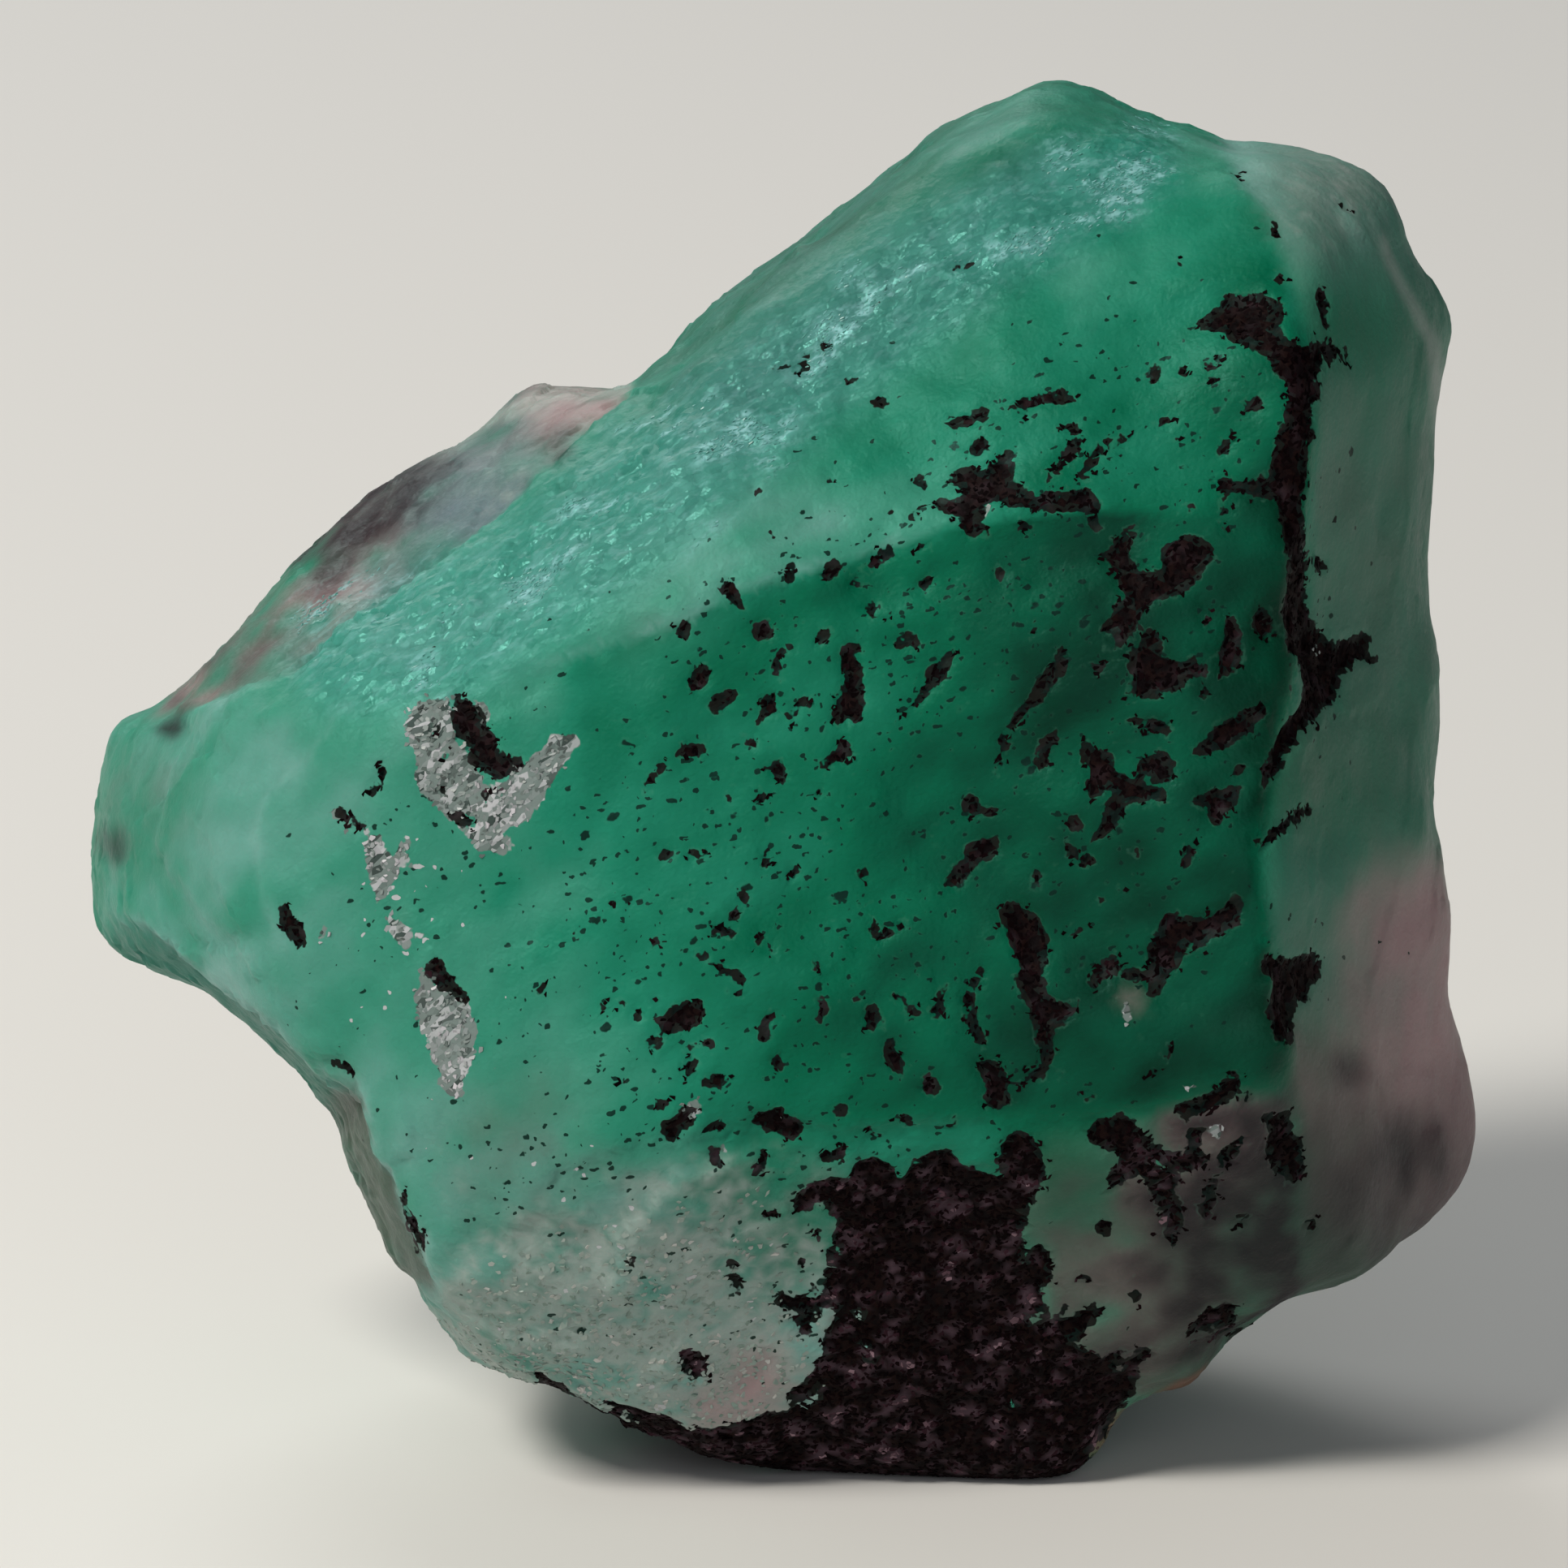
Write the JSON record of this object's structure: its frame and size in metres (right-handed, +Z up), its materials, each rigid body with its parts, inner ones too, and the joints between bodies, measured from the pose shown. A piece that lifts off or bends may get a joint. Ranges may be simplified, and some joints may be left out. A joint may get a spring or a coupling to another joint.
{
  "type": "rough emerald",
  "caption": "Irregular flat-faced lump of milky green beryl with dark mica grown through it, standing upright on a small flat spot.",
  "frame": {"origin": "bottom centre of the bounding box, at the level of the flat spot that the stone stands on", "axes": "+X to the right across the broad face, +Y from the broad face through to the back, +Z up; the broad face leans back 15 degrees"},
  "size_m": [0.0398, 0.0232, 0.0384],
  "materials": {
    "beryl": "naturally broken, worn smooth, slightly waxy"
  },
  "bodies": {
    "root": {"rough_emerald": "beryl"}
  },
  "joints": []
}
